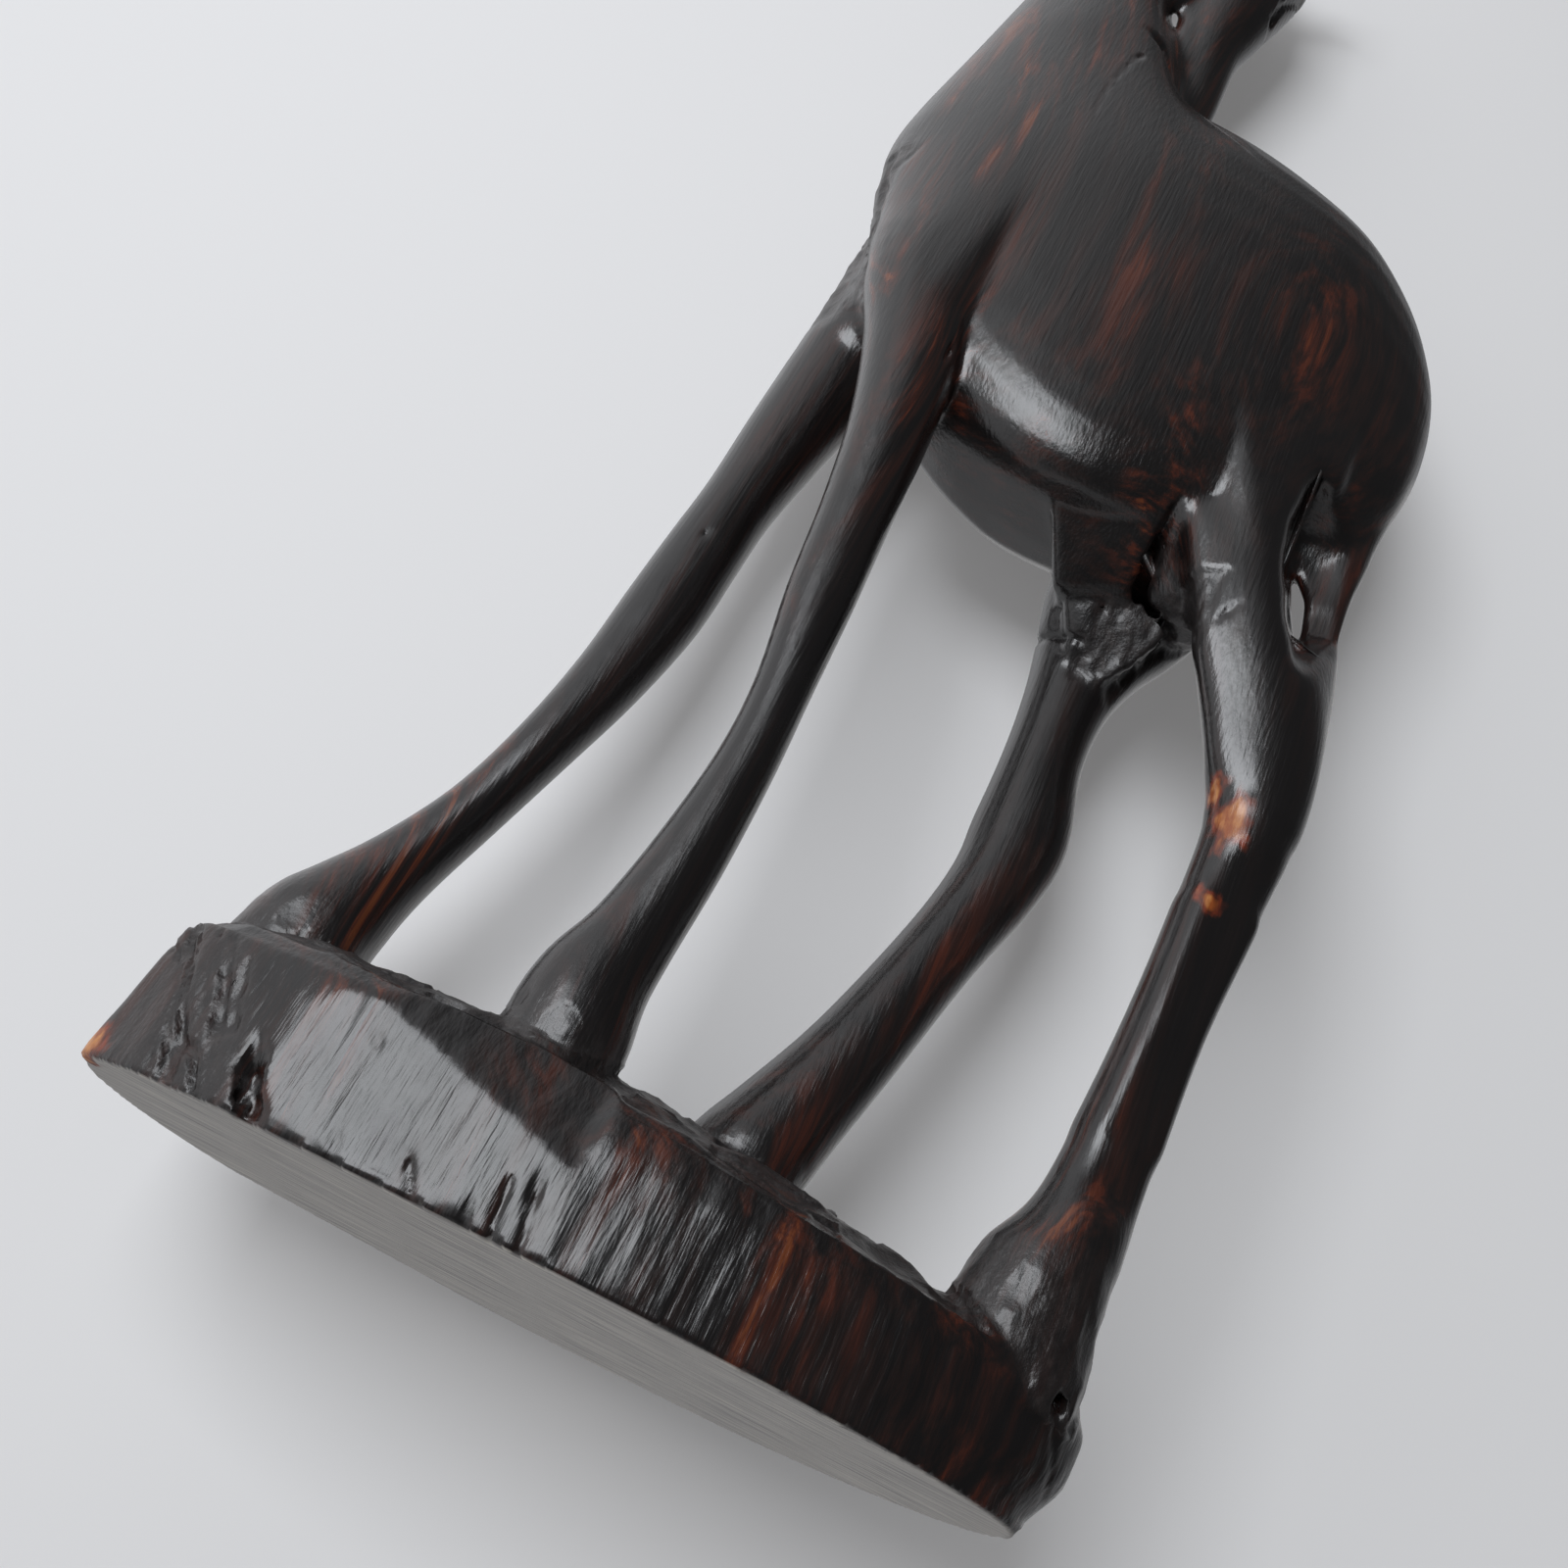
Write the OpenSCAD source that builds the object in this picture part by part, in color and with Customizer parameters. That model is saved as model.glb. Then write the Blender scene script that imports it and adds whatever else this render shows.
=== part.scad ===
// Carved wooden giraffe on a rough-hewn oval base, cut from one block of dark hardwood.
// +Z is up, the giraffe faces -X and its left flank faces -Y.
// The origin is the middle of the flat underside.

/* [Base] */
// Length of the underside
base_length = 140; // [136:1:146]
// Depth of the underside, from the near side to the far side
base_depth = 62; // [58:1:66]
// Height of the crowned top above the underside
base_height = 33; // [31:0.5:35]

/* [Body] */
// Fullness of the torso from side to side
torso_fullness = 1; // [0.92:0.02:1.08]
// Fullness of the legs, all round
leg_fullness = 1; // [0.92:0.02:1.1]
// Fullness of the neck, all round
neck_fullness = 1; // [0.94:0.02:1.06]

/* [Head] */
// Length of each ear
ear_length = 17; // [14:0.5:20]
// Length of each horn
horn_length = 12; // [9:0.5:14]
// Radius of each horn
horn_radius = 2.4; // [2:0.1:2.8]

/* [Smoothness] */
// Rings between two stations of a loft
rings = 4; // [2:1:5]
// Sides of the torso, neck and head
body_sides = 32; // [24:4:36]
// Sides of a leg
leg_sides = 20; // [16:2:24]

/* [Hidden] */

wood = [0.16, 0.11, 0.10];
worn_wood = [0.24, 0.15, 0.12];
raw_wood = [0.22, 0.18, 0.16];

// The outline of the underside, as fractions of its length and depth: a blunt leaf with a fuller far side
base_outline = [
    [-0.5, -0.21], [-0.4, -0.36], [-0.27, -0.46], [-0.08, -0.5], [0.16, -0.5], [0.34, -0.44],
    [0.45, -0.33], [0.5, -0.17], [0.48, 0.05], [0.39, 0.27], [0.25, 0.43], [0.07, 0.5],
    [-0.12, 0.51], [-0.3, 0.46], [-0.43, 0.31], [-0.5, 0.06],
];
// Levels of the base: share of the length, share of the depth, share of the height, shift along the length
base_levels = [
    [1, 1, -0.12, 0], [1, 1, 0, 0], [1.035, 0.99, 0.26, 2.4], [1.042, 0.97, 0.5, 2.8],
    [1.02, 0.94, 0.64, 2.4], [0.95, 0.86, 0.76, 1.6], [0.78, 0.7, 0.86, 0.5], [0.54, 0.5, 0.93, 0],
    [0.3, 0.28, 0.98, 0], [0.08, 0.08, 1, 0],
];

// Torso stations: x, lowest z, highest z, half width, middle y
torso_line = [
    [-47.5, 240, 252, 4, -3], [-44, 226, 266, 9, -3], [-37, 207, 280, 14, -2.5],
    [-26, 188, 291, 18.5, -2], [-10, 173, 295, 21.5, -2], [8, 164, 293, 23.5, -2],
    [25, 163, 289, 24, -2], [40, 166, 284, 23.5, -2], [55, 172, 276, 22, -2], [68, 181, 262, 19, -2],
    [77, 193, 244, 14, -3], [81, 206, 231, 8, -3], [81.8, 214, 224, 3, -3],
];

// Limb stations: x, y, z, half size fore and aft, half size side to side
neck_line = [
    [-15, -2, 258, 24, 15], [-17, -2, 280, 23.5, 16.5], [-17.5, -2, 295, 22.5, 16.5],
    [-19, -2, 308, 19.5, 15], [-22, -2, 321, 15.5, 13.2], [-24.5, -2, 337, 12.6, 11.6],
    [-24.5, -2, 354, 11, 10.6], [-20, -2, 372, 10.2, 10], [-8, -2, 385.5, 10.4, 9.8],
    [6, -2, 386, 10, 9.6], [12, -2, 380, 8, 8],
];
head_line = [
    [4, -2, 388, 5, 6], [7, -2, 383, 11.5, 9.5], [8, -2, 371, 13.6, 11], [6.2, -2, 356, 13, 11.2],
    [5, -2, 342, 11, 9.6], [5, -2, 328, 8.2, 7.8], [7, -2, 316, 6.2, 6.8], [8.4, -2, 306, 5, 5.8],
    [9, -2, 297, 4, 4.6], [9, -2, 290, 3, 3.6],
];
left_front_leg_line = [
    [-12.5, -14, 16, 12, 11], [-13, -14, 30, 10, 10], [-13.3, -14, 40, 8.7, 8.4],
    [-11.7, -14, 50, 7, 7], [-10, -14, 66, 6, 6.2], [-9.2, -14, 84, 5.1, 5.8],
    [-9.8, -14.5, 100, 5, 5.6], [-11.7, -15, 120, 6.2, 6], [-13.4, -15.5, 140, 6.7, 6.6],
    [-15.6, -16, 160, 7.8, 7.6], [-19.5, -15.5, 182, 10, 8.8], [-24.5, -13, 204, 13, 9.8],
    [-28.5, -9, 228, 13, 9], [-31, -6, 246, 9, 7],
];
right_front_leg_line = [
    [-58.5, 4, 16, 12.5, 11], [-58, 4.5, 32, 10.6, 10], [-55.9, 5, 40, 8.6, 8.4],
    [-52.5, 5.5, 50, 6.5, 7], [-47.6, 6, 65, 5.3, 6], [-43.6, 6.5, 82, 5.4, 6],
    [-40.4, 7.5, 100, 6.5, 6.4], [-38.6, 8, 118, 7.6, 6.8], [-38, 8.5, 134, 7.5, 7],
    [-37.3, 9, 150, 7.4, 7.4], [-35.6, 9, 172, 9.2, 8.4], [-33, 8, 196, 11, 9], [-31, 5, 222, 10, 8],
];
left_hind_leg_line = [
    [60.5, -13, 14, 13, 11], [61.8, -13.5, 29, 10.4, 10], [64.5, -14, 40, 7.9, 8.2],
    [65.8, -14, 54, 7, 7], [67.2, -14.5, 76, 6.4, 6.6], [69, -15, 98, 7.3, 6.9],
    [70, -15, 118, 8.6, 7.4], [67.4, -15.5, 134, 10.4, 8.2], [60.6, -15.5, 150, 10.8, 8.8],
    [53.8, -14.5, 168, 9.8, 9.6], [51.5, -12.5, 184, 13, 11], [52, -9, 208, 16, 11],
    [53, -6, 228, 10, 8],
];
right_hind_leg_line = [
    [15, 3, 14, 13, 11], [17, 3.5, 28, 10.6, 9.8], [20.8, 4, 40, 8.8, 8.4], [26.2, 4.5, 56, 7.4, 7.2],
    [32.8, 6, 80, 6.8, 6.8], [36.8, 7, 96, 7.8, 7], [37.8, 7.5, 108, 8.8, 7], [36.4, 8, 124, 7.4, 6.8],
    [36.2, 8.5, 138, 8, 7.4], [37, 9, 150, 10.6, 8.8], [38.5, 9, 162, 14.6, 10], [42, 8, 178, 17, 11],
    [46, 5, 200, 16, 10], [49, 3, 222, 9, 7],
];
tail_line = [
    [72, -5, 216, 6, 5], [74.8, -6, 202, 5, 5], [74, -7, 188, 4.6, 4.8], [73, -8, 175, 4.6, 4.6],
    [73.4, -9.5, 162, 4.6, 4.6], [73.6, -11, 148, 4.6, 4.6], [72.6, -13, 134, 4, 4.4],
    [72, -14, 124, 2.4, 3.4],
];

// Share of its height that the crown of the base loses with each millimetre towards the tail
crown_fall = 0.0014;
torso_power = 2.4;
// Where the underside of the belly is squared off, how far each way, and how much
belly_middle = 20;
belly_reach = 55;
belly_squareness = 3;
limb_power = 2.15;
neck_top_cut = 299;

// Catmull-Rom curve through the stations of a line
function between(p, i, t) = let (
    a = p[max(i - 1, 0)], b = p[i], c = p[i + 1], d = p[min(i + 2, len(p) - 1)]
) 0.5 * (2 * b + (c - a) * t + (2 * a - 5 * b + 4 * c - d) * t * t + (3 * b - a - 3 * c + d) * t * t * t);
function smooth_line(p, n) = [
    for (i = [0 : len(p) - 2]) for (k = [0 : n - 1]) between(p, i, k / n), p[len(p) - 1]
];
// The same round a closed outline
function smooth_loop(p, n) = let (m = len(p)) [
    for (i = [0 : m - 1]) for (k = [0 : n - 1])
        between([p[(i + m - 1) % m], p[i], p[(i + 1) % m], p[(i + 2) % m]], 1, k / n)
];

function unit(v) = v / norm(v);
function point_of(s) = [s[0], s[1], s[2]];
function bulge(v, power) = sign(v) * pow(abs(v), 2 / power);

// One ring of a limb, square to the way its centre line runs
function limb_ring(s, along, sides, power) = let (fore = unit(cross([0, 1, 0], along))) [
    for (k = [0 : sides - 1]) let (a = 360 * k / sides)
        point_of(s) + fore * s[3] * bulge(cos(a), power) + [0, s[4] * bulge(sin(a), power), 0]
];
function limb_rings(line, sides, fullness, power) = let (p = smooth_line(line, rings), m = len(p)) [
    for (i = [0 : m - 1]) let (along = point_of(p[min(i + 1, m - 1)]) - point_of(p[max(i - 1, 0)]))
        limb_ring([p[i][0], p[i][1], p[i][2], p[i][3] * fullness, p[i][4] * fullness], along, sides, power)
];

// How square the section is at this place: the near lower quarter is squared off under the belly
function torso_squareness(x, a) = torso_power
    + (a > 180 && a < 270 ? belly_squareness * max(0, 1 - abs(x - belly_middle) / belly_reach) : 0);
// One upright ring of the torso
function torso_ring(s) = let (middle = (s[1] + s[2]) / 2, half = (s[2] - s[1]) / 2) [
    for (k = [0 : body_sides - 1]) let (a = 360 * k / body_sides, power = torso_squareness(s[0], a))
        [s[0], s[4] + s[3] * torso_fullness * bulge(cos(a), power), middle + half * bulge(sin(a), power)]
];

// A closed skin over a stack of rings with the same number of points
module skin(stack) {
    n = len(stack[0]);
    m = len(stack);
    sides = [
        for (i = [0 : m - 2]) for (k = [0 : n - 1])
            each [[i * n + k, (i + 1) * n + k, i * n + (k + 1) % n],
                  [i * n + (k + 1) % n, (i + 1) * n + k, (i + 1) * n + (k + 1) % n]]
    ];
    ends = [[for (k = [0 : n - 1]) k], [for (k = [n - 1 : -1 : 0]) (m - 1) * n + k]];
    polyhedron(points = [for (ring = stack) each ring], faces = concat(sides, ends));
}

// Cuts between carved regions are made on one closed mesh
module carved() {
    resize([0, 0, 0]) children();
}

module limb(line, sides, fullness = 1, power = limb_power) {
    skin(limb_rings(line, sides, fullness, power));
}

// Height of the base at a level: its crown falls away towards the tail
function crown(x, share) = share * base_height * (1 - crown_fall * share * (x + max(x, 0)));

module base_stack() {
    outline = smooth_loop(base_outline, 4);
    skin([
        for (level = base_levels) [
            for (p = outline) let (x = p[0] * base_length * level[0] + level[3])
                [x, p[1] * base_depth * level[1], crown(x, level[2])]
        ]
    ]);
}

module torso_solid() {
    skin([for (s = smooth_line(torso_line, rings)) torso_ring(s)]);
}

module above(z) {
    translate([-200, -200, z])
        cube([400, 400, 400]);
}

module base() {
    color(worn_wood)
        intersection() {
            base_stack();
            above(0);
        }
}

module torso() {
    color(wood)
        carved()
            union() {
                torso_solid();
                difference() {
                    limb(neck_line, body_sides, neck_fullness);
                    above(neck_top_cut);
                }
            }
}

module neck() {
    color(wood)
        carved()
            difference() {
                intersection() {
                    limb(neck_line, body_sides, neck_fullness);
                    above(neck_top_cut);
                }
                torso_solid();
                limb(head_line, body_sides);
            }
}

module head() {
    color(wood)
        carved()
            difference() {
                limb(head_line, body_sides);
                torso_solid();
            }
}

module leg(line) {
    color(wood)
        carved()
            difference() {
                limb(line, leg_sides, leg_fullness);
                base_stack();
                torso_solid();
            }
}

module left_front_leg() {
    leg(left_front_leg_line);
}

module right_front_leg() {
    leg(right_front_leg_line);
}

module left_hind_leg() {
    leg(left_hind_leg_line);
}

module right_hind_leg() {
    leg(right_hind_leg_line);
}

module hind_web() {
    color(worn_wood)
        carved()
            difference() {
                hull() {
                    translate([42, -2, 174])
                        scale([16, 13, 12])
                            sphere(1, $fn = 32);
                    translate([50, -4, 167])
                        scale([9, 12, 12])
                            sphere(1, $fn = 32);
                }
                torso_solid();
                limb(left_hind_leg_line, leg_sides, leg_fullness);
                limb(right_hind_leg_line, leg_sides, leg_fullness);
            }
}

module tail() {
    color(wood)
        carved()
            difference() {
                limb(tail_line, leg_sides);
                torso_solid();
                limb(left_hind_leg_line, leg_sides, leg_fullness);
            }
}

module ear(side) {
    root = [8, -2 + side * 8, 382];
    way = [0.42, side * 0.86, 0.28];
    line = [
        for (s = [[0, 1.6, 1.4], [0.25, 3.2, 1.8], [0.55, 3.9, 1.6], [0.8, 2.6, 1.2], [1, 0.7, 0.6]])
            concat(root + way * ear_length * s[0], [s[1], s[2]])
    ];
    color(wood)
        carved()
            difference() {
                skin([
                    for (s = smooth_line(line, rings)) [
                        for (k = [0 : 15]) let (a = -side * 360 * k / 16)
                            point_of(s) + [0.8, 0, -0.6] * s[3] * cos(a) + [0.6, 0, 0.8] * s[4] * sin(a)
                    ]
                ]);
                limb(head_line, body_sides);
                limb(neck_line, body_sides, neck_fullness);
            }
}

module left_ear() {
    ear(-1);
}

module right_ear() {
    ear(1);
}

module horn(side) {
    color(wood)
        carved()
            difference() {
                hull() {
                    translate([12, -2 + side * 4, 380])
                        sphere(horn_radius, $fn = 20);
                    translate([12 + 0.75 * (horn_length + 8), -2 + side * 5, 380 + 0.65 * (horn_length + 8)])
                        sphere(horn_radius * 0.9, $fn = 20);
                }
                limb(head_line, body_sides);
                limb(neck_line, body_sides, neck_fullness);
            }
}

module left_horn() {
    horn(-1);
}

module right_horn() {
    horn(1);
}

base();
torso();
neck();
head();
left_front_leg();
right_front_leg();
left_hind_leg();
right_hind_leg();
hind_web();
tail();
left_ear();
right_ear();
left_horn();
right_horn();
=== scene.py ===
"""A carved hardwood giraffe on a rough-hewn oval base.

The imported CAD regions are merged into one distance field. The meetings are softened as sanding would,
the tool marks are cut into the field, and the skin is then divided again into one closed piece for each
region. The field and its marks are in millimetres. The meshes, materials, lights and camera are in metres.
"""
import math

import bmesh
import bpy
import numpy as np
import openvdb
from mathutils import Matrix, Vector


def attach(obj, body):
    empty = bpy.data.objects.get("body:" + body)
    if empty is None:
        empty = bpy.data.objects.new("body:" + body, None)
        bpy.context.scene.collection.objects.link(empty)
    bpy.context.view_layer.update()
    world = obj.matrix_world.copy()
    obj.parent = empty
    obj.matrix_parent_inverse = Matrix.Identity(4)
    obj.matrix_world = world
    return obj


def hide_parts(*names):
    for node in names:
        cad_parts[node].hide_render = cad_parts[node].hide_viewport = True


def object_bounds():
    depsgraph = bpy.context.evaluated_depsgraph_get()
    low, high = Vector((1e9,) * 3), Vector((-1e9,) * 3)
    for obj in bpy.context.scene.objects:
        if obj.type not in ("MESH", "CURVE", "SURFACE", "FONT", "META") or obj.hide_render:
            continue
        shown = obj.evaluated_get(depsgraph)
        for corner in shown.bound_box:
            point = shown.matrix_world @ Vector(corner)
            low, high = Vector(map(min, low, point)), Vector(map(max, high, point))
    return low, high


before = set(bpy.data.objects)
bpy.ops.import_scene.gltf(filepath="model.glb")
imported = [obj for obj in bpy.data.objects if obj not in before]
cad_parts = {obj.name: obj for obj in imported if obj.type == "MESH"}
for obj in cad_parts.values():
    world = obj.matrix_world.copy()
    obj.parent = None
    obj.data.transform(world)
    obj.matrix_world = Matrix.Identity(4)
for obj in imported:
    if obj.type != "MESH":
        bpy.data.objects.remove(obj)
cad_low, cad_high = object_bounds()
scene = bpy.context.scene

MM = 0.001
PITCH = 0.65  # between the samples of the field
BAND = 8  # how many samples deep the distances are right
SCORE_REACH = 7  # how far from its points a scored mark may find the surface
HEWN_NODES = ("base", "hind_web")
END_SLANT = 0.545  # how far the edge of the worked end of the base leans for each mm of height
MARKING = np.array((-0.06, 0.875, 0.48))  # the way marks on the near side are cut
INWARD = np.array((0.188, 0.718, 0.670))  # the way the slot by the tail runs


# ---------------------------------------------------------------- random patterns

def cell_random(cells, seed):
    """A fixed number from 0 to 1 for each whole-number cell."""
    whole = cells.astype(np.int64).astype(np.uint64)
    mixed = whole[..., 0] * np.uint64(73856093)
    mixed ^= whole[..., 1] * np.uint64(19349663)
    mixed ^= whole[..., 2] * np.uint64(83492791)
    mixed ^= np.uint64(seed * 2654435761)
    for _ in range(2):
        mixed &= np.uint64(0xFFFFFFFF)
        mixed ^= mixed >> np.uint64(15)
        mixed *= np.uint64(2246822519)
    mixed &= np.uint64(0xFFFFFFFF)
    return ((mixed ^ (mixed >> np.uint64(13))) & np.uint64(0xFFFFFF)).astype(np.float64) / 0xFFFFFF


def noise(points, size, seed):
    """Smooth noise from -1 to 1, with bumps of the given size along x, y and z."""
    place = points / np.array(size, float)
    cell = np.floor(place)
    part = place - cell
    part = part * part * (3 - 2 * part)
    total = np.zeros(len(points))
    for corner in np.ndindex(2, 2, 2):
        share = np.prod(np.where(corner, part, 1 - part), axis=1)
        total += share * cell_random(cell + corner, seed)
    return total * 2 - 1


def rough(points, size, seed, layers=3):
    """Noise with finer and finer layers on it."""
    size = np.array(size, float)
    return sum(noise(points, size / 2 ** k, seed + k) / 2 ** k for k in range(layers))


def scoops(points, size, seed, tilt=0.5, dish=0.35):
    """Height of a surface worked with a gouge: the deepest of the tilted shallow dishes near each point."""
    place = points / np.array(size, float)
    cell = np.floor(place)
    depth = np.full(len(points), 9.0)
    for step in np.ndindex(3, 3, 3):
        near = cell + np.array(step) - 1
        jitter = np.stack([cell_random(near, seed + k) for k in range(3)], 1)
        away = place - near - jitter
        lean = np.stack([cell_random(near, seed + 3 + k) for k in range(3)], 1) - 0.5
        dished = tilt * 2 * (away * lean).sum(1) + dish * (away ** 2).sum(1)
        depth = np.minimum(depth, dished + 0.3 * cell_random(near, seed + 6))
    return depth


def ramp(value, low, high):
    """0 below low, 1 above high, smooth between."""
    t = np.clip((value - low) / (high - low), 0, 1)
    return t * t * (3 - 2 * t)


# ---------------------------------------------------------------- distance fields

def blurred(values, spread):
    """A block of samples after a Gaussian blur. The spread is in millimetres."""
    reach = max(1, int(math.ceil(2.5 * spread / PITCH)))
    weights = np.exp(-0.5 * (np.arange(-reach, reach + 1) * PITCH / spread) ** 2)
    weights /= weights.sum()
    for axis in range(3):
        padded = np.pad(values, [(reach, reach) if k == axis else (0, 0) for k in range(3)], "edge")
        total = np.zeros_like(values)
        size = values.shape[axis]
        for k, weight in enumerate(weights):
            part = [slice(None)] * 3
            part[axis] = slice(k, k + size)
            total += np.float32(weight) * padded[tuple(part)]
        values = total
    return values


def blank(blocks, background):
    """(first sample, distances) of an empty block that spans several others."""
    first = np.min([start for start, _ in blocks], axis=0)
    last = np.max([start + block.shape for start, block in blocks], axis=0)
    return first, np.full(last - first, background, np.float32)


def covered(first, values, start, block):
    """A view of the samples that a smaller block covers."""
    a = start - first
    b = a + block.shape
    return values[a[0]:b[0], a[1]:b[1], a[2]:b[2]]


def dot(xyz, start, axis):
    """The way from start to each sample, times an axis."""
    return sum((xyz[k] - start[k]) * axis[k] for k in range(3))


def from_line(xyz, start, line, inward=0.0, axis=(0, 0, 0)):
    """How far each sample is from a line, and how far along it that is, from 0 to 1. Samples that lie inward
    along an axis are measured from the line moved inward with them."""
    along = np.clip(dot(xyz, start, line) / max(line @ line, 1e-9), 0, 1)
    away = np.sqrt(sum((xyz[k] - start[k] - along * line[k] - inward * axis[k]) ** 2 for k in range(3)))
    return away, along


class Field:
    """The whole statue as distances on a regular grid, negative in the wood."""

    def __init__(self, regions):
        self.first, self.values = blank(list(regions.values()), BAND * PITCH)

    def window(self, low, high):
        """The samples between two corners: a view of the values, and their x, y and z."""
        a = np.clip(np.floor(np.array(low) / PITCH).astype(int) - self.first, 0, self.values.shape)
        b = np.clip(np.ceil(np.array(high) / PITCH).astype(int) - self.first + 1, 0, self.values.shape)
        view = self.values[a[0]:b[0], a[1]:b[1], a[2]:b[2]]
        axes = [(np.arange(a[k], b[k]) + self.first[k]) * PITCH for k in range(3)]
        return view, np.meshgrid(*axes, indexing="ij", sparse=True)

    def add(self, first, block):
        """Joins a block of wood to the statue."""
        view = covered(self.first, self.values, first, block)
        np.minimum(view, block, out=view)

    def bridge(self, *slices, corners=()):
        """Adds the convex block between slices of the CAD regions, which are a node, its lowest and highest
        corner, and any loose corners."""
        corners = list(corners)
        for node, low, high in slices:
            places = region_mesh(node)[0]
            inside = np.all((places >= low) & (places <= high), axis=1)
            corners += list(np.unique(places[inside].round(2), axis=0))
        self.add(*hull_field(corners))

    def lump(self, start, end, start_radius, end_radius):
        """Adds a round-ended bar that may taper."""
        start = np.array(start, float)
        end = np.array(end, float)
        reach = max(start_radius, end_radius) + BAND * PITCH
        view, xyz = self.window(np.minimum(start, end) - reach, np.maximum(start, end) + reach)
        away, along = from_line(xyz, start, end - start)
        outside = away - start_radius - (end_radius - start_radius) * along
        np.minimum(view, outside, out=view, casting="unsafe")

    def cut_plane(self, point, normal, low, high):
        """Removes what lies beyond a plane, inside a box."""
        view, xyz = self.window(low, high)
        normal = np.array(normal, float) / np.linalg.norm(normal)
        np.maximum(view, dot(xyz, point, normal), out=view, casting="unsafe")

    def carve(self, *sections):
        """Hollows the wood out behind a chain of short lines in front of it. A section is the two ends of a
        line and how deep the hollow goes behind each of them."""
        for section, following in zip(sections, sections[1:]):
            corners = []
            for left, right, left_depth, right_depth in (section, following):
                left = np.array(left, float)
                right = np.array(right, float)
                corners += [left, right, left + INWARD * left_depth, right + INWARD * right_depth]
            first, block = hull_field(corners)
            view = covered(self.first, self.values, first, block)
            np.maximum(view, -block, out=view)

    def pierce(self, start, end, radius, end_radius, depth):
        """Cuts a slot with round ends straight in. start and end are on its mouth, where its sizes hold."""
        start = np.array(start, float)
        line = np.array(end, float) - start
        line -= INWARD * (line @ INWARD)
        far = start + line + INWARD * depth
        view, xyz = self.window(np.minimum(start, far) - 8, np.maximum(start, far) + 8)
        inward = dot(xyz, start, INWARD)
        away, along = from_line(xyz, start, line, inward, INWARD)
        width = radius + (end_radius - radius) * along
        inside = np.minimum(width - away, np.minimum(inward + 4, depth - inward))
        np.maximum(view, inside, out=view, casting="unsafe")

    def trail(self, *stations):
        """Cuts a round groove through several points, each with its radius."""
        for (start, start_radius), (end, end_radius) in zip(stations, stations[1:]):
            start = np.array(start, float)
            end = np.array(end, float)
            reach = max(start_radius, end_radius) + 2
            view, xyz = self.window(np.minimum(start, end) - reach, np.maximum(start, end) + reach)
            away, along = from_line(xyz, start, end - start)
            radius = start_radius + (end_radius - start_radius) * along
            np.maximum(view, radius - away, out=view, casting="unsafe")

    def score(self, *stations, ragged=0.0, seed=0):
        """Cuts a V into whatever surface lies near some points. Each comes with its half width and depth."""
        places = np.array([place for place, _, _ in stations], float)
        view, xyz = self.window(places.min(0) - SCORE_REACH, places.max(0) + SCORE_REACH)
        depth = np.zeros(view.shape)
        waver = 0
        if ragged:
            samples = np.stack(np.broadcast_arrays(*xyz), -1).reshape(-1, 3)
            waver = ragged * rough(samples, (3, 3, 5), seed, 2).reshape(view.shape)
        for (start, wide, deep), (end, end_wide, end_deep) in zip(stations, stations[1:]):
            line = np.array(end, float) - start
            line -= MARKING * (line @ MARKING)
            inward = dot(xyz, start, MARKING)
            away, along = from_line(xyz, start, line, inward, MARKING)
            share = 1 - away / (wide + (end_wide - wide) * along) + waver * (1 - away / 9)
            near_skin = abs(inward) < SCORE_REACH
            depth = np.maximum(depth, (deep + (end_deep - deep) * along) * np.clip(share, 0, 1) * near_skin)
        np.add(view, depth, out=view, casting="unsafe")

    def soften(self, spread, low=None, high=None):
        """Blurs the field, which rounds edges and fills corners a little, as sanding does. Given two corners,
        it works inside that box and fades out towards the sides of it."""
        if low is None:
            self.values = blurred(self.values, spread)
            return
        view, xyz = self.window(low, high)
        share = 1
        for k in range(3):
            fade = (high[k] - low[k]) / 5
            share = share * ramp(xyz[k], low[k], low[k] + fade)
            share = share * (1 - ramp(xyz[k], high[k] - fade, high[k]))
        view += (blurred(view, spread) - view) * share.astype(np.float32)

    def fill_hollows(self, radius, pitch, low, high, share, nodes):
        """Rounds the meetings of the named regions inside a box. share gives how much, from 0 to 1."""
        view, xyz = self.window(low, high)
        filled = resampled(*filled_field(nodes, radius, pitch), pitch, xyz)
        target = np.minimum(view, filled + 0.3)
        view += (target - view) * share(*xyz)

    def skin(self):
        """The zero surface as points and quads."""
        return surface_at(self.values, self.first, PITCH, BAND * PITCH, 0)


def mesh_field(points, faces, pitch, band):
    """(first sample, distances) of a closed mesh of triangles or quads, negative inside it."""
    shape = {"triangles" if faces.shape[1] == 3 else "quads": faces.astype(np.uint32)}
    grid = openvdb.FloatGrid.createLevelSetFromPolygons(
        points.astype(np.float32), transform=openvdb.createLinearTransform(voxelSize=pitch),
        halfWidth=float(band), **shape)
    first = np.floor(points.min(0) / pitch).astype(int) - band
    last = np.ceil(points.max(0) / pitch).astype(int) + band
    block = np.empty(last - first + 1, np.float32)
    grid.copyToArray(block, ijk=tuple(int(i) for i in first))
    return first, block


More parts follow.
